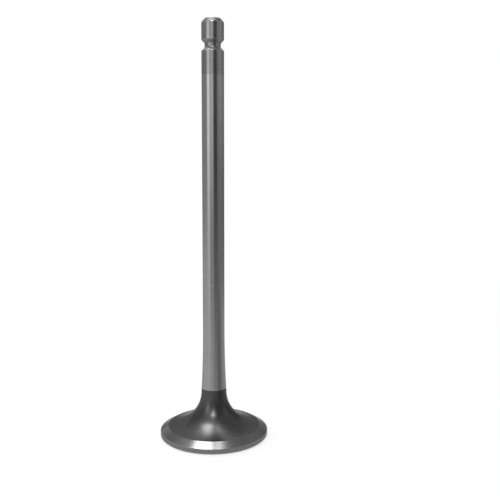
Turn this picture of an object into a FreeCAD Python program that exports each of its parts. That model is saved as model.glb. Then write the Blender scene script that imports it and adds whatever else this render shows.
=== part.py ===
import FreeCAD, Part
import math
import os

# Poppet valve of a bridged four-valve engine, turned and ground from one bar.
# Lengths are in millimetres and angles in degrees.
# The origin is the centre of the head's flat face, and +Z runs up the stem to the tip.

overall_length = 132.0

# Head: a narrow upright margin at the rim, then the conical seat
head_diameter = 34.9
face_edge_chamfer = 0.35
margin_height = 1.7
seat_width = 2.55
seat_angle = 30.0

# Back of the head: a shallow round that steepens into the fillet, where it leans by fillet_lean off the axis
back_radius = 21.0
fillet_radius = 10.2
fillet_lean = 60.0

# Stem, with a slow flare at its lower end that meets the fillet where it leans by flare_lean off the axis
stem_diameter = 7.0
flare_radius = 340.0
flare_lean = 3.5

# Keeper groove: one round-bottomed groove below the long tip that the bridge bears on
tip_land_length = 6.35
groove_neck_diameter = 5.0
groove_floor_length = 1.3
groove_flank_angle = 45.0
groove_floor_round = 0.6
groove_shoulder_round = 0.2

# Tip
tip_chamfer = 1.1
tip_round = 0.8


def tan(degrees):
    return math.tan(math.radians(degrees))


def cos(degrees):
    return math.cos(math.radians(degrees))


def point(r, z):
    return FreeCAD.Vector(r, 0, z)


def outward(lean):
    """Direction to the centre of a hollow round, from where its surface leans by lean off the axis."""
    return point(cos(lean), math.sin(math.radians(lean)))


def rounded_outline(corners):
    """Join corners (r, z, round) by straight runs, with a tangent arc of that radius at each corner."""
    edges = []
    at = point(*corners[0][:2])
    for before, corner, after in zip(corners, corners[1:], corners[2:]):
        middle = point(*corner[:2])
        back = (point(*before[:2]) - middle).normalize()
        ahead = (point(*after[:2]) - middle).normalize()
        radius = corner[2]
        if radius == 0:
            edges.append(Part.makeLine(at, middle))
            at = middle
            continue
        half_angle = back.getAngle(ahead) / 2
        tangent_length = radius / math.tan(half_angle)
        start = middle + back * tangent_length
        end = middle + ahead * tangent_length
        centre = middle + (back + ahead).normalize() * (radius / math.sin(half_angle))
        crest = centre + (middle - centre).normalize() * radius
        edges.append(Part.makeLine(at, start))
        edges.append(Part.Arc(start, crest, end).toShape())
        at = end
    edges.append(Part.makeLine(at, point(*corners[-1][:2])))
    return edges


def hollow_arc(centre, radius, first_lean, last_lean):
    """Arc on the stem's side of centre, between two leans off the axis."""
    leans = (first_lean, (first_lean + last_lean) / 2, last_lean)
    return Part.Arc(*[centre - outward(lean) * radius for lean in leans]).toShape()


def seat_inner_edge():
    return point(head_diameter / 2 - seat_width, margin_height + seat_width * tan(seat_angle))


def neck_edges():
    """Back of the head, fillet and flare, tangent to each other, from the seat up to the foot of the stem."""
    seat_inner = seat_inner_edge()
    flare_end_radius = stem_diameter / 2 + flare_radius * (1 - cos(flare_lean))
    fillet_end_radius = flare_end_radius + fillet_radius * (cos(flare_lean) - cos(fillet_lean))
    back_width = seat_inner.x - fillet_end_radius
    seat_lean = math.degrees(math.acos(cos(fillet_lean) - back_width / back_radius))
    back_centre = seat_inner + outward(seat_lean) * back_radius
    fillet_centre = back_centre - outward(fillet_lean) * (back_radius - fillet_radius)
    flare_centre = fillet_centre + outward(flare_lean) * (flare_radius - fillet_radius)
    return [
        hollow_arc(back_centre, back_radius, seat_lean, fillet_lean),
        hollow_arc(fillet_centre, fillet_radius, fillet_lean, flare_lean),
        hollow_arc(flare_centre, flare_radius, flare_lean, 0),
    ]


def head_edges():
    """Face, chamfer, margin and seat, from the axis out to the seat's inner edge."""
    head_radius = head_diameter / 2
    seat_inner = seat_inner_edge()
    return rounded_outline([
        (0, 0, 0),
        (head_radius - face_edge_chamfer, 0, 0),
        (head_radius, face_edge_chamfer, 0),
        (head_radius, margin_height, 0),
        (seat_inner.x, seat_inner.z, 0),
    ])


def stem_edges(foot_height):
    """Straight stem, keeper groove and tip, from the foot of the stem up to the axis."""
    stem_radius = stem_diameter / 2
    neck_radius = groove_neck_diameter / 2
    flank_height = (stem_radius - neck_radius) * tan(groove_flank_angle)
    groove_top = overall_length - tip_land_length
    floor_top = groove_top - flank_height
    floor_bottom = floor_top - groove_floor_length
    groove_bottom = floor_bottom - flank_height
    return rounded_outline([
        (stem_radius, foot_height, 0),
        (stem_radius, groove_bottom, groove_shoulder_round),
        (neck_radius, floor_bottom, groove_floor_round),
        (neck_radius, floor_top, groove_floor_round),
        (stem_radius, groove_top, groove_shoulder_round),
        (stem_radius, overall_length - tip_chamfer, tip_round),
        (stem_radius - tip_chamfer, overall_length, 0),
        (0, overall_length, 0),
    ])


def valve():
    """The whole valve, as one outline turned about the axis."""
    neck = neck_edges()
    foot_height = neck[-1].Vertexes[-1].Z
    turned = head_edges() + neck + stem_edges(foot_height)
    axis_line = Part.makeLine(point(0, overall_length), point(0, 0))
    section = Part.Face(Part.Wire(turned + [axis_line]))
    return section.revolve(point(0, 0), FreeCAD.Vector(0, 0, 1), 360)


os.makedirs("parts", exist_ok=True)
valve().exportStep("parts/valve.step")
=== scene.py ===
import math

import bpy
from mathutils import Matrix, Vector


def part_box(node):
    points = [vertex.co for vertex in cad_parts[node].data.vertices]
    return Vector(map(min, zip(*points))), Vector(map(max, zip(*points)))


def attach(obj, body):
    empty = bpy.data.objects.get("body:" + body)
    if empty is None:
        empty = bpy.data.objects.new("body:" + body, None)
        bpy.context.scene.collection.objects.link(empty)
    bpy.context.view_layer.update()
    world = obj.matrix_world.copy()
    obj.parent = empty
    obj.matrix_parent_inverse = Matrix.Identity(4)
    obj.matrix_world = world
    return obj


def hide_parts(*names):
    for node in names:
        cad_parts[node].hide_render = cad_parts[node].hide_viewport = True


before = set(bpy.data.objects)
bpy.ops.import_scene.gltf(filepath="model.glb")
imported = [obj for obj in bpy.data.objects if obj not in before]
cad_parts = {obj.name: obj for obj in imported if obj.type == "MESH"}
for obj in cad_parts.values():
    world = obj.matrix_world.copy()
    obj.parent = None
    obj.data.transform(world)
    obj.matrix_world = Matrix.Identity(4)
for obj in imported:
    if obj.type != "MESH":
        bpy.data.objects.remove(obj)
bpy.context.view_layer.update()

# Engine valve: one turned and ground steel piece that stands on the flat face of its head.
# One mesh stands for the CAD solid. It follows the same outline, with finer facets, exact normals,
# small rounds on the sharp edges and a steel finish for each zone.

MM = 0.001

# Sizes of the valve, in millimetres and degrees, as its CAD source names them
overall_length = 132.0
face_edge_chamfer = 0.35
margin_height = 1.7
seat_width = 2.55
seat_angle = 30.0
back_radius = 21.0
fillet_radius = 10.2
fillet_lean = 60.0
stem_diameter = 7.0
flare_radius = 340.0
flare_lean = 3.5
tip_land_length = 6.35
groove_neck_diameter = 5.0
groove_floor_length = 1.3
groove_flank_angle = 45.0
groove_floor_round = 0.6
groove_shoulder_round = 0.2
tip_chamfer = 1.1
tip_round = 0.8

# Where the finishes change, as heights above the face in millimetres
oxide_top = 15.6
bright_top = 115.0

# Fine detail of the mesh: lengths in millimetres, and counts. Wear is 1 on a sharp outer edge.
edge_round = 0.12
wear_width = 0.3
tip_round_wear = 0.5
longest_step = 3.0
corner_steps = 5
ring_segments = 192

# Steps along the neck's rounds, and the degrees of the back's arc that the edge round at the seat takes up
back_steps = 18
fillet_steps = 34
oxide_flare_steps = 4
bright_flare_steps = 10
seat_round_turn = 0.5

# Limits that tell the zones apart: least depth of the groove and greatest height of the face in
# millimetres, and least rise of the groove's lower flank in degrees
groove_least_depth = 0.02
face_top = 0.01
flank_least_rise = 30

# Two places nearer than this, in millimetres, count as one
touching = 1e-6


def cosine(degrees):
    return math.cos(math.radians(degrees))


def tangent(degrees):
    return math.tan(math.radians(degrees))


def unit(degrees):
    return Vector((cosine(degrees), math.sin(math.radians(degrees))))


# The solid's rim is faceted, so the head's radius here is that of its box
box_low, box_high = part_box("valve")
head_radius = min(-box_low.x, box_high.x, -box_low.y, box_high.y) / MM
seat_inner_radius = head_radius - seat_width
stem_radius = stem_diameter / 2

# Heights of the keeper groove, from its upper shoulder down
neck_radius = groove_neck_diameter / 2
flank_height = (stem_radius - neck_radius) * tangent(groove_flank_angle)
groove_top = overall_length - tip_land_length
groove_floor_top = groove_top - flank_height
groove_floor_bottom = groove_floor_top - groove_floor_length
groove_bottom = groove_floor_bottom - flank_height


# The outline: points (r, z, normal angle, wear) from the middle of the face round to the middle of the
# tip. The normal angle is measured from the radial direction towards +Z.


def normal_angle(start, end):
    """Angle of the outward normal on a straight run."""
    run = end - start
    return math.degrees(math.atan2(run.y, run.x)) - 90


def straight_run(start, end, start_wear, end_wear):
    """Points of a straight run: its ends, a point where each end's wear fades out, and even steps."""
    angle = normal_angle(start, end)
    length = (end - start).length
    ahead = (end - start) / length
    fade = min(wear_width, length / 3)
    inner = length - 2 * fade
    steps = max(1, math.ceil(inner / longest_step))
    places = [fade + inner * i / steps for i in range(steps + 1)]
    middle = [(*(start + ahead * place), angle, 0.0) for place in places]
    return [(*start, angle, start_wear), *middle, (*end, angle, end_wear)]


def round_corner(corner, radius, edge_wear, first_angle, last_angle):
    """Points of the arc that rounds a corner between two runs with these normal angles."""
    turn = last_angle - first_angle
    side = math.copysign(1, turn)
    reach = radius * tangent(abs(turn) / 2)
    start = corner - unit(first_angle + 90) * reach
    centre = start - unit(first_angle) * radius * side
    wear = edge_wear if side > 0 else 0.0
    points = []
    for i in range(corner_steps + 1):
        angle = first_angle + turn * i / corner_steps
        points.append((*(centre + unit(angle) * radius * side), angle, wear))
    return points


def rounded_outline(corners, last_run=True):
    """Straight runs between corners (r, z, round, wear), joined by arcs. The last run can be left off."""
    places = [Vector(corner[:2]) for corner in corners]
    angles = [normal_angle(a, b) for a, b in zip(places, places[1:])]
    arcs = [
        round_corner(place, *corner[2:], before, after)
        for place, corner, before, after in zip(places[1:], corners[1:], angles, angles[1:])
    ]
    points = []
    at = places[0]
    wear = 0.0
    for arc in arcs:
        points += straight_run(at, Vector(arc[0][:2]), wear, arc[0][3])[:-1] + arc[:-1]
        at = Vector(arc[-1][:2])
        wear = arc[-1][3]
    if not last_run:
        return points + arcs[-1][-1:]
    return points + straight_run(at, places[-1], wear, 0.0)


def hollow_arc(centre, radius, first_lean, last_lean, steps):
    """Points of a hollow round between two leans off the axis, without the last one."""
    leans = [first_lean + (last_lean - first_lean) * i / steps for i in range(steps)]
    return [(*(centre - unit(lean) * radius), lean, 0.0) for lean in leans]


def valve_outline():
    """Head, neck, stem and tip. The neck's three rounds are tangent to each other."""
    seat_inner = Vector((seat_inner_radius, margin_height + seat_width * tangent(seat_angle)))
    flare_end_radius = stem_radius + flare_radius * (1 - cosine(flare_lean))
    fillet_end_radius = flare_end_radius + fillet_radius * (cosine(flare_lean) - cosine(fillet_lean))
    back_width = seat_inner.x - fillet_end_radius
    seat_lean = math.degrees(math.acos(cosine(fillet_lean) - back_width / back_radius))
    back_centre = seat_inner + unit(seat_lean) * back_radius
    fillet_centre = back_centre - unit(fillet_lean) * (back_radius - fillet_radius)
    flare_centre = fillet_centre + unit(flare_lean) * (flare_radius - fillet_radius)
    oxide_lean = math.degrees(math.asin((flare_centre.y - oxide_top) / flare_radius))

    head = rounded_outline([
        (0, 0, 0, 0),
        (head_radius - face_edge_chamfer, 0, edge_round, 1),
        (head_radius, face_edge_chamfer, edge_round, 1),
        (head_radius, margin_height, edge_round, 1),
        (*seat_inner, edge_round, 0),
        (*(seat_inner + unit(seat_lean + 90)), 0, 0),
    ], last_run=False)
    neck = (
        hollow_arc(back_centre, back_radius, seat_lean - seat_round_turn, fillet_lean, back_steps)
        + hollow_arc(fillet_centre, fillet_radius, fillet_lean, flare_lean, fillet_steps)
        + hollow_arc(flare_centre, flare_radius, flare_lean, oxide_lean, oxide_flare_steps)
        + hollow_arc(flare_centre, flare_radius, oxide_lean, 0, bright_flare_steps)
    )
    stem_foot = Vector((stem_radius, flare_centre.y))
    stem = straight_run(stem_foot, Vector((stem_radius, bright_top)), 0.0, 0.0)
    tip = rounded_outline([
        (stem_radius, bright_top, 0, 0),
        (stem_radius, groove_bottom, groove_shoulder_round, 1),
        (neck_radius, groove_floor_bottom, groove_floor_round, 0),
        (neck_radius, groove_floor_top, groove_floor_round, 0),
        (stem_radius, groove_top, groove_shoulder_round, 1),
        (stem_radius, overall_length - tip_chamfer, tip_round, tip_round_wear),
        (stem_radius - tip_chamfer, overall_length, edge_round, 1),
        (0, overall_length, 0, 0),
    ])
    return head + neck + stem[:-1] + tip


def zone(start, end):
    """Name of the finish on the part of the outline between two neighbouring points."""
    r = (start[0] + end[0]) / 2
    z = (start[1] + end[1]) / 2
    in_groove = bright_top < z < groove_top and r < stem_radius - groove_least_depth
    faces_up = end[2] > flank_least_rise and z < (groove_floor_top + groove_floor_bottom) / 2
    if z > overall_length - tip_chamfer:
        return "turned_end"
    # The groove's lower flank faces up and gets a lighter steel than the rest of the groove: painted light
    # where the land above shades it.
    if in_groove and faces_up:
        return "groove_flank_painted_light"
    if in_groove:
        return "turned_groove"
    if z > bright_top:
        return "dull_stem"
    if z > oxide_top:
        return "bright_stem"
    if z < face_top:
        return "oxide_face"
    if z < margin_height:
        return "turned_margin"
    if r > seat_inner_radius:
        return "ground_seat"
    return "oxide_neck"


# Node materials

white = (1, 1, 1, 1)


class Graph:
    """The nodes of a material or world, with short ways to add them."""

    def __init__(self, owner):
        self.owner = owner
        owner.use_nodes = True
        self.tree = owner.node_tree
        self.tree.nodes.clear()

    def node(self, kind, settings=(), **inputs):
        made = self.tree.nodes.new("ShaderNode" + kind)
        for setting, value in dict(settings).items():
            setattr(made, setting, value)
        for socket, value in inputs.items():
            self.put(made.inputs[socket.replace("_", " ")], value)
        return made

    def put(self, socket, value):
        if isinstance(value, bpy.types.NodeSocket):
            self.tree.links.new(value, socket)
        else:
            socket.default_value = value

    def math(self, operation, *values):
        made = self.node("Math", {"operation": operation})
        for socket, value in zip(made.inputs, values):
            self.put(socket, value)
        return made.outputs[0]

    def spread(self, value, low, high):
        """A value of about 0 to 1, mapped to the range low to high."""
        return self.math("MULTIPLY_ADD", value, high - low, low)

    def stray(self, value, amount):
        """A value of about 0 to 1, mapped to a factor that strays from 1 by this amount either way."""
        return self.spread(value, 1 - amount, 1 + amount)

    def output(self, surface, kind="OutputMaterial"):
        self.node(kind, Surface=surface)
        return self.owner


# Steel finishes

# Turning rings: how fast fine and broad ones change on their way round, and how many fine rings make
# a broad one
fine_wander = 1.5
broad_wander = 0.6
fine_in_broad = 5
ring_detail = 2.0
ring_roughness = 0.6

# Patches of tone and smears of gloss, with their sizes in millimetres
patch_size = 2.2
smear_size = 9.0
patch_detail = 3.0
patch_roughness = 0.55

# How far the gloss strays from smear to smear and from ring to ring, and how bright a worn edge is rubbed
smear_gloss = 0.15
ring_gloss = 0.1
least_rubbed = 0.5
most_rubbed = 1.1

# Least radius, in metres, that the direction round the axis is divided by
least_radius = 0.0001

# Turn of the grain: a quarter draws highlights out across the rings
grain_turn = 0.25

# Share of a clean metal's grazing reflection that the worked surface keeps
grazing_tint = (0.6, 0.6, 0.6, 1)


def turned_coordinates(graph):
    """Radius and height, in metres, and the direction round the axis, as the two parts of a unit vector."""
    place = graph.node("SeparateXYZ", Vector=graph.node("TexCoord").outputs["Object"])
    x = place.outputs["X"]
    y = place.outputs["Y"]
    squares = graph.math("ADD", graph.math("MULTIPLY", x, x), graph.math("MULTIPLY", y, y))
    radius = graph.math("SQRT", squares)
    safe_radius = graph.math("MAXIMUM", radius, least_radius)
    east = graph.math("DIVIDE", x, safe_radius)
    north = graph.math("DIVIDE", y, safe_radius)
    return radius, place.outputs["Z"], east, north


def ring_noise(graph, coordinates, pitch, wander):
    """Noise drawn out into rings round the axis: pitch is in millimetres, wander how fast they change."""
    radius, height, east, north = coordinates
    along = graph.node(
        "CombineXYZ",
        X=graph.math("DIVIDE", radius, pitch * MM),
        Y=graph.math("DIVIDE", height, pitch * MM),
        Z=graph.math("MULTIPLY", east, wander),
    )
    noise = graph.node(
        "TexNoise", {"noise_dimensions": "4D"}, Vector=along.outputs[0],
        W=graph.math("MULTIPLY", north, wander), Scale=1.0, Detail=ring_detail, Roughness=ring_roughness,
    )
    return noise.outputs[0]


def patch_noise(graph, size):
    """Noise in patches of this size in millimetres."""
    place = graph.node("TexCoord").outputs["Object"]
    noise = graph.node(
        "TexNoise", Vector=place, Scale=1 / (size * MM), Detail=patch_detail, Roughness=patch_roughness,
    )
    return noise.outputs[0]


def turned_steel(
    name, tone, roughness, anisotropy, ring_pitch, ring_depth, mottle, edge_tone, ring_tone=0.07,
):
    """Steel turned or ground on the axis.

    tone and edge_tone are greys, ring_pitch is in millimetres and ring_depth in micrometres,
    and mottle and ring_tone are how far the tone strays from patch to patch and from ring to ring.
    """
    graph = Graph(bpy.data.materials.new(name))
    coordinates = turned_coordinates(graph)
    fine_rings = ring_noise(graph, coordinates, ring_pitch, fine_wander)
    broad_rings = ring_noise(graph, coordinates, ring_pitch * fine_in_broad, broad_wander)
    patches = patch_noise(graph, patch_size)
    smears = patch_noise(graph, smear_size)
    wear = graph.node("Attribute", {"attribute_name": "wear"}).outputs["Fac"]

    shade = graph.math("MULTIPLY", graph.stray(patches, mottle), graph.stray(broad_rings, ring_tone))
    shade = graph.math("MULTIPLY", shade, graph.stray(fine_rings, ring_tone))
    plain_tone = graph.math("MULTIPLY", shade, tone)
    rubbed = graph.math("MULTIPLY", wear, graph.spread(patches, least_rubbed, most_rubbed))
    final_tone = graph.math("ADD", plain_tone, graph.math("MULTIPLY", rubbed, edge_tone - tone))
    colour = graph.node("CombineColor", Red=final_tone, Green=final_tone, Blue=final_tone)

    gloss = graph.math("MULTIPLY", graph.stray(smears, smear_gloss), graph.stray(fine_rings, ring_gloss))
    bump = graph.node("Bump", Strength=1.0, Distance=ring_depth * MM * MM, Height=fine_rings)
    grain = graph.node("Tangent", {"direction_type": "RADIAL", "axis": "Z"})
    shader = graph.node(
        "BsdfPrincipled", Base_Color=colour.outputs[0], Metallic=1.0,
        Roughness=graph.math("MULTIPLY", gloss, roughness), Anisotropic=anisotropy,
        Anisotropic_Rotation=grain_turn, Tangent=grain.outputs[0], Normal=bump.outputs[0],
        Specular_Tint=grazing_tint,
    )
    return graph.output(shader.outputs[0])


finish_settings = {
    "bright_stem": dict(
        tone=0.3, roughness=0.22, anisotropy=0.75,
        ring_pitch=0.16, ring_depth=0.35, mottle=0.03, edge_tone=0.36,
    ),
    "dull_stem": dict(
        tone=0.235, roughness=0.25, anisotropy=0.7,
        ring_pitch=0.2, ring_depth=0.4, mottle=0.05, edge_tone=0.32,
    ),
    "turned_end": dict(
        tone=0.15, roughness=0.48, anisotropy=0.3,
        ring_pitch=0.2, ring_depth=0.8, mottle=0.05, edge_tone=0.2,
    ),
    "turned_groove": dict(
        tone=0.21, roughness=0.3, anisotropy=0.5,
        ring_pitch=0.2, ring_depth=0.8, mottle=0.05, edge_tone=0.24,
    ),
    # The groove's lower flank: a lighter copy of the groove's steel, painted light where the land above
    # keeps light off it.
    "groove_flank_painted_light": dict(
        tone=0.38, roughness=0.4, anisotropy=0.4,
        ring_pitch=0.2, ring_depth=0.8, mottle=0.05, edge_tone=0.3,
    ),
    "oxide_neck": dict(
        tone=0.08, roughness=0.28, anisotropy=0.2,
        ring_pitch=0.3, ring_depth=0.8, mottle=0.1, edge_tone=0.12,
    ),
    "ground_seat": dict(
        tone=0.17, roughness=0.24, anisotropy=0.6,
        ring_pitch=0.15, ring_depth=0.12, mottle=0.03, edge_tone=0.22,
    ),
    "turned_margin": dict(
        tone=0.17, roughness=0.32, anisotropy=0.5,
        ring_pitch=0.25, ring_depth=1.0, mottle=0.08, edge_tone=0.24,
    ),
    "oxide_face": dict(
        tone=0.08, roughness=0.36, anisotropy=0.4,
        ring_pitch=0.35, ring_depth=1.5, mottle=0.4, edge_tone=0.12, ring_tone=0.4,
    ),
}
finishes = {name: turned_steel(name, **settings) for name, settings in finish_settings.items()}


# The valve's mesh

# Texture map for baking, with places from 0 to 1. The stem's strips stand side by side on its right,
# the head's strip lies across its foot, the tip's strip is at its upper left, and the face and the
# tip's end are discs. A strip or area is (left, right, bottom, top), and a disc is (x, y, radius).
stem_strips = 3
head_strip = (0.0, 1.0, 0.0, 0.255)
tip_strip = (0.0, 0.4, 0.68, 0.99)
stem_area = (0.41, 1.0, 0.265, 1.0)
strip_gap = 0.01
face_disc = (0.2, 0.4675, 0.195)
tip_disc = (0.028, 0.295, 0.025)


def texture_strips(outline, lengths):
    """Strips of the map: first and last length along the outline, then left, right, bottom and top."""
    def length_at(height):
        nearest = min(range(len(outline)), key=lambda i: abs(outline[i][1] - height))
        return lengths[nearest]

    def cut(i):
        return length_at(oxide_top + (bright_top - oxide_top) * i / stem_strips)

    at_tip = overall_length - touching
    face_end = max(length for point, length in zip(outline, lengths) if point[1] == 0)
    tip_end = min(length for point, length in zip(outline, lengths) if point[1] > at_tip)
    left, right, bottom, top = stem_area
    width = (right - left) / stem_strips
    strips = [(face_end, cut(0), *head_strip), (cut(stem_strips), tip_end, *tip_strip)]
    for i in range(stem_strips):
        strip_left = left + width * i
        strip_right = strip_left + width - strip_gap
        strips.append((cut(i), cut(i + 1), strip_left, strip_right, bottom, top))
    return strips


def strip_corners(strip, start_length, end_length, i):
    """Map places of a face's four corners on a strip."""
    first, last, left, right, bottom, top = strip
    low = bottom + (top - bottom) * (start_length - first) / (last - first)
    high = bottom + (top - bottom) * (end_length - first) / (last - first)
    west = left + (right - left) * i / ring_segments
    east = left + (right - left) * (i + 1) / ring_segments
    return [(west, low), (east, low), (east, high), (west, high)]


def disc_place(disc, radius, vertex):
    """Map place of a vertex on a disc that stands for this radius."""
    x, y, size = disc
    return (x + vertex[0] / MM / radius * size, y + vertex[1] / MM / radius * size)


def turned_mesh(name, outline):
    """The outline turned about the axis, with exact normals, wear, its map and a finish for each zone."""
    vertices = []
    normals = []
    wears = []
    rings = []
    for r, z, angle, wear in outline:
        on_axis = r < touching
        segments = 1 if on_axis else ring_segments
        slope = unit(angle)
        first = len(vertices)
        for i in range(segments):
            turn = 2 * math.pi * i / ring_segments
            east = math.cos(turn)
            north = math.sin(turn)
            vertices.append((r * MM * east, r * MM * north, z * MM))
            if on_axis:
                normals.append((0, 0, math.copysign(1, slope.y)))
            else:
                normals.append((slope.x * east, slope.x * north, slope.y))
            wears.append(wear)
        rings.append([first + i % segments for i in range(ring_segments + 1)])

    lengths = [0.0]
    for start, end in zip(outline, outline[1:]):
        lengths.append(lengths[-1] + math.dist(start[:2], end[:2]))
    strips = texture_strips(outline, lengths)

    finish_names = list(finishes)
    faces = []
    face_finishes = []
    map_places = []
    spans = zip(outline, outline[1:], rings, rings[1:], lengths, lengths[1:])
    for start, end, low, high, start_length, end_length in spans:
        finish = finish_names.index(zone(start, end))
        middle = (start_length + end_length) / 2
        strip = next((strip for strip in strips if strip[0] < middle < strip[1]), None)
        on_head = end[1] < overall_length / 2
        disc = face_disc if on_head else tip_disc
        disc_radius = head_radius if on_head else stem_radius
        for i in range(ring_segments):
            corners = tuple(dict.fromkeys((low[i], low[i + 1], high[i + 1], high[i])))
            faces.append(corners)
            face_finishes.append(finish)
            if strip:
                map_places += strip_corners(strip, start_length, end_length, i)
            else:
                map_places += [disc_place(disc, disc_radius, vertices[corner]) for corner in corners]

    mesh = bpy.data.meshes.new(name)
    mesh.from_pydata(vertices, [], faces)
    for finish in finish_names:
        mesh.materials.append(finishes[finish])
    mesh.polygons.foreach_set("material_index", face_finishes)
    mesh.polygons.foreach_set("use_smooth", [True] * len(faces))
    mesh.attributes.new("wear", "FLOAT", "POINT").data.foreach_set("value", wears)
    map_values = [value for place in map_places for value in place]
    mesh.uv_layers.new(name="OFBake").uv.foreach_set("vector", map_values)
    mesh.update()
    mesh.normals_split_custom_set_from_vertices(normals)
    piece = bpy.data.objects.new(name, mesh)
    bpy.context.scene.collection.objects.link(piece)
    return piece


valve = turned_mesh("valve_body", valve_outline())
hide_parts("valve")
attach(valve, "root")


# Camera: lens and sensor in millimetres, places in metres, and degrees that it looks down and is rolled

lens = 50.565
sensor_width = 36.0
nearest_shown = 0.01
camera_place = (0.011632, -0.221627, 0.090286)
camera_tilt = 7.575
camera_roll = 0.18

camera_data = bpy.data.cameras.new("camera")
camera_data.lens = lens
camera_data.sensor_width = sensor_width
camera_data.clip_start = nearest_shown
camera = bpy.data.objects.new("camera", camera_data)
camera.location = camera_place
camera.rotation_mode = "ZYX"
camera.rotation_euler = (math.radians(90 - camera_tilt), 0, math.radians(camera_roll))
bpy.context.scene.collection.objects.link(camera)
bpy.context.scene.camera = camera


# White surround, floor, lamps and glowing cards that paint reflections, in metres and degrees

floor_side = 6.0

# The floor lies this far below the valve's face, and the glowing ring that paints the floor's reflection
# this far above that level, so that none of them coincide
floor_drop = 0.00005
card_lift = 0.0001

# Sides of the glowing ring that paints the floor's reflection
ring_sides = 64


def seen_rays(graph):
    """1 for rays from the camera, off gloss or through glass, and 0 for those that light matt surfaces."""
    rays = graph.node("LightPath").outputs
    seen = graph.math("MAXIMUM", rays["Is Camera Ray"], rays["Is Glossy Ray"])
    return graph.math("MAXIMUM", seen, rays["Is Transmission Ray"])


def white_surround(ambient):
    """A world that is white where it shows or reflects, and lights matt surfaces at the ambient level."""
    graph = Graph(bpy.data.worlds.new("surround"))
    strength = graph.spread(seen_rays(graph), ambient, 1)
    background = graph.node("Background", Color=white, Strength=strength)
    world = graph.output(background.outputs[0], "OutputWorld")
    world.cycles.sampling_method = "NONE"
    bpy.context.scene.world = world


def board_mesh(name, vertices, faces, material):
    """The floor or a card, as a flat mesh about its own origin."""
    mesh = bpy.data.meshes.new(name)
    mesh.from_pydata(vertices, [], faces)
    mesh.materials.append(material)
    board = bpy.data.objects.new(name, mesh)
    bpy.context.scene.collection.objects.link(board)
    return board


def rectangle(name, width, height, material):
    """A flat rectangle about its own origin, facing its +Z."""
    x = width / 2
    y = height / 2
    flat = board_mesh(name, [(-x, -y, 0), (x, -y, 0), (x, y, 0), (-x, y, 0)], [(0, 1, 2, 3)], material)
    return flat


def white_floor(colour, near_glow, far_glow, fade):
    """Floor that shows white and keeps a soft shadow. From below it isn't shown.

    Its glow makes up for the lamps' light, which fades over this range of distances from the origin.
    """
    graph = Graph(bpy.data.materials.new("white_floor"))
    seen = seen_rays(graph)
    place = graph.node("NewGeometry").outputs["Position"]
    distance = graph.node("VectorMath", {"operation": "LENGTH"}, Vector=place).outputs["Value"]
    glow = graph.node(
        "MapRange", {"interpolation_type": "SMOOTHSTEP"}, Value=distance,
        From_Min=fade[0], From_Max=fade[1], To_Min=near_glow, To_Max=far_glow,
    ).outputs["Result"]
    light = graph.node("Emission", Color=white, Strength=graph.math("MULTIPLY", seen, glow))
    matt = graph.node("BsdfDiffuse", Color=(colour, colour, colour, 1))
    both = graph.node("AddShader")
    graph.put(both.inputs[0], matt.outputs[0])
    graph.put(both.inputs[1], light.outputs[0])
    sided = graph.node("MixShader", Fac=graph.node("NewGeometry").outputs["Backfacing"])
    graph.put(sided.inputs[1], both.outputs[0])
    graph.put(sided.inputs[2], graph.node("BsdfTransparent").outputs[0])
    floor = rectangle("floor", floor_side, floor_side, graph.output(sided.outputs[0]))
    floor.location.z = -floor_drop


def direction(azimuth, elevation):
    """Unit vector: azimuth is 0 towards the camera's side, -Y, and grows towards +X."""
    turn = math.radians(azimuth)
    rise = math.radians(elevation)
    return Vector((math.sin(turn) * math.cos(rise), -math.cos(turn) * math.cos(rise), math.sin(rise)))


def aim(thing, place, target):
    """Put a lamp or card at place, turned to the target."""
    thing.location = place
    axis = "-Z" if thing.type == "LIGHT" else "Z"
    thing.rotation_euler = (Vector(target) - Vector(place)).to_track_quat(axis, "Y").to_euler()


def softbox(name, place, target, width, height, radiance):
    """A rectangular soft lamp whose face has this radiance."""
    data = bpy.data.lights.new(name, "AREA")
    data.shape = "RECTANGLE"
    data.size = width
    data.size_y = height
    data.energy = radiance * math.pi * width * height
    lamp = bpy.data.objects.new(name, data)
    lamp.visible_camera = False
    bpy.context.scene.collection.objects.link(lamp)
    aim(lamp, place, target)


def graded_glow(name, axis, stops, by_direction=False):
    """Material that only glows, in greys that blend from stop to stop.

    A stop is (place, grey), where the place is how far along the axis the surface lies, in metres,
    or with by_direction the cosine between the axis and the direction from the origin.
    """
    graph = Graph(bpy.data.materials.new(name))
    place = graph.node("NewGeometry").outputs["Position"]
    if by_direction:
        place = graph.node("VectorMath", {"operation": "NORMALIZE"}, Vector=place).outputs[0]
    along = graph.node("VectorMath", {"operation": "DOT_PRODUCT"})
    graph.put(along.inputs[0], place)
    graph.put(along.inputs[1], axis)
    first = stops[0][0]
    reach = stops[-1][0] - first
    share = graph.math("DIVIDE", graph.math("SUBTRACT", along.outputs["Value"], first), reach)
    ramp = graph.node("ValToRGB", Fac=share)
    marks = ramp.color_ramp.elements
    for at, _ in stops[1:-1]:
        marks.new((at - first) / reach)
    for mark, (at, grey) in zip(marks, stops):
        mark.position = (at - first) / reach
        mark.color = (grey, grey, grey, 1)
    glow = graph.node("Emission", Color=ramp.outputs[0])
    material = graph.output(glow.outputs[0])
    material.cycles.emission_sampling = "NONE"
    return material


def only_reflected(board):
    """Let only reflections see a card."""
    board.visible_camera = False
    board.visible_diffuse = False
    board.visible_shadow = False


def card(name, distance, azimuths, stops):
    """An upright glowing card, square to the axis, from one azimuth to another, with greys at these
    heights. Only reflections see it, so its greys are a painted reflection.
    """
    half_turn = (azimuths[1] - azimuths[0]) / 2
    width = 2 * distance * tangent(half_turn)
    foot = stops[0][0]
    head = stops[-1][0]
    board = rectangle(name, width, head - foot, graded_glow(name, (0, 0, 1), stops))
    only_reflected(board)
    middle = Vector((0, 0, (foot + head) / 2))
    aim(board, middle + direction(sum(azimuths) / 2, 0) * distance, middle)


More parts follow.
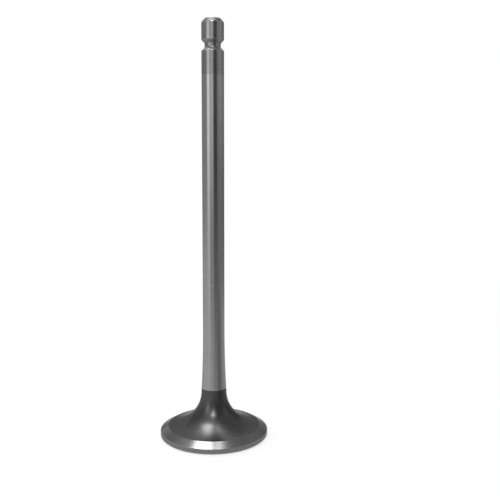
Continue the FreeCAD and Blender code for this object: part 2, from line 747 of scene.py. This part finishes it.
def painted_ceiling_reflection(name, height, across, along, stops):
    """A level glowing card overhead, over these ranges of x and y, with greys by x. Only reflections see
    it, so it is a painted reflection.
    """
    glow = graded_glow(name, (1, 0, 0), stops)
    board = rectangle(name, across[1] - across[0], along[1] - along[0], glow)
    board.location = (sum(across) / 2, sum(along) / 2, height)
    only_reflected(board)


def painted_floor_reflection(name, inner, outer, dark_azimuth, stops):
    """A glowing ring on the floor that only reflections see, with greys by how near its direction is to the
    dark azimuth: a painted reflection of the floor, with painted shade towards that azimuth.
    """
    turns = [2 * math.pi * i / ring_sides for i in range(ring_sides)]
    vertices = [
        (radius * math.cos(turn), radius * math.sin(turn), 0) for radius in (inner, outer) for turn in turns
    ]
    faces = [
        (i, (i + 1) % ring_sides, ring_sides + (i + 1) % ring_sides, ring_sides + i)
        for i in range(ring_sides)
    ]
    glow = graded_glow(name, direction(dark_azimuth, 0), stops, by_direction=True)
    ring = board_mesh(name, vertices, faces, glow)
    ring.location.z = card_lift
    only_reflected(ring)


white_surround(ambient=0.6)
white_floor(colour=0.35, near_glow=0.575, far_glow=0.82, fade=(0.05, 1.0))

# Lamps: a small one beside the upper stem, and two farther ones that the head reflects

head_middle = Vector((0, 0, 0.005))
upper_stem = Vector((0, 0, 0.12))
left_height = Vector((0, 0, 0.1675))
left_distance = 0.3
front_distance = 1.2

softbox(
    "left_softbox", place=direction(azimuth=-46, elevation=0) * left_distance + left_height,
    target=upper_stem, width=0.13, height=0.165, radiance=1.0,
)
softbox(
    "top_softbox", place=(-0.12, 0.131, 0.9),
    target=head_middle, width=0.444, height=0.325, radiance=9.0,
)
softbox(
    "front_softbox", place=direction(azimuth=-1, elevation=46) * front_distance,
    target=head_middle, width=0.4, height=0.24, radiance=14.5,
)

# Glowing cards round the stem from the left over the front to the back, then one on the floor and one
# overhead. They are no lamps and only reflections see them, so their greys paint light and dark reflections
# into the steel. A stop of an upright card is (height, grey).

card(
    "left_card", distance=0.15, azimuths=(-140, -60),
    stops=[(0, 0.9), (0.03, 0.9), (0.06, 0.58), (0.15, 0.5), (0.2, 0.85), (0.24, 0.9)],
)
card(
    "front_card", distance=0.1, azimuths=(-30, 6),
    stops=[(0, 0.7), (0.02, 0.6), (0.055, 0.45), (0.1, 0.92)],
)
# Its low greys paint the dark reflected stripe down the stem and the dark right side of the neck.
card(
    "dark_card", distance=0.08, azimuths=(6, 44),
    stops=[(0, 0.55), (0.024, 0.36), (0.05, 0.22), (0.09, 0.1), (0.14, 0.16), (0.24, 0.16)],
)
card(
    "right_front_card", distance=0.1, azimuths=(44, 72),
    stops=[(0, 0.28), (0.035, 0.38), (0.075, 0.31), (0.15, 0.66), (0.24, 0.5)],
)
card(
    "right_card", distance=0.25, azimuths=(72, 102),
    stops=[(0, 0.45), (0.065, 0.3), (0.13, 0.63), (0.17, 0.95), (0.21, 0.5), (0.45, 0.42)],
)
card(
    "right_back_card", distance=0.2, azimuths=(102, 152),
    stops=[(0, 0.5), (0.065, 0.3), (0.11, 0.48), (0.24, 0.55)],
)
card(
    "back_card", distance=0.4, azimuths=(152, 208),
    stops=[(0, 0.48), (0.06, 0.55), (0.12, 0.75), (0.24, 0.75)],
)
painted_floor_reflection(
    "painted_floor_reflection", inner=0.022, outer=0.4, dark_azimuth=56,
    stops=[(-1, 0.95), (0.2, 0.9), (0.72, 0.63), (0.92, 0.48), (1, 0.3)],
)
# Its edge beside the top softbox glows at four times white, a painted highlight that widens the lamp's own
# on the head; the rest is a dim painted reflection overhead on the right.
painted_ceiling_reflection(
    "painted_ceiling_reflection", height=0.9, across=(0.1, 0.9), along=(-0.8, 0.9),
    stops=[(0.1, 4.0), (0.15, 0.9), (0.27, 0.5), (0.9, 0.4)],
)


# Colour management

view = bpy.context.scene.view_settings
view.view_transform = "Standard"
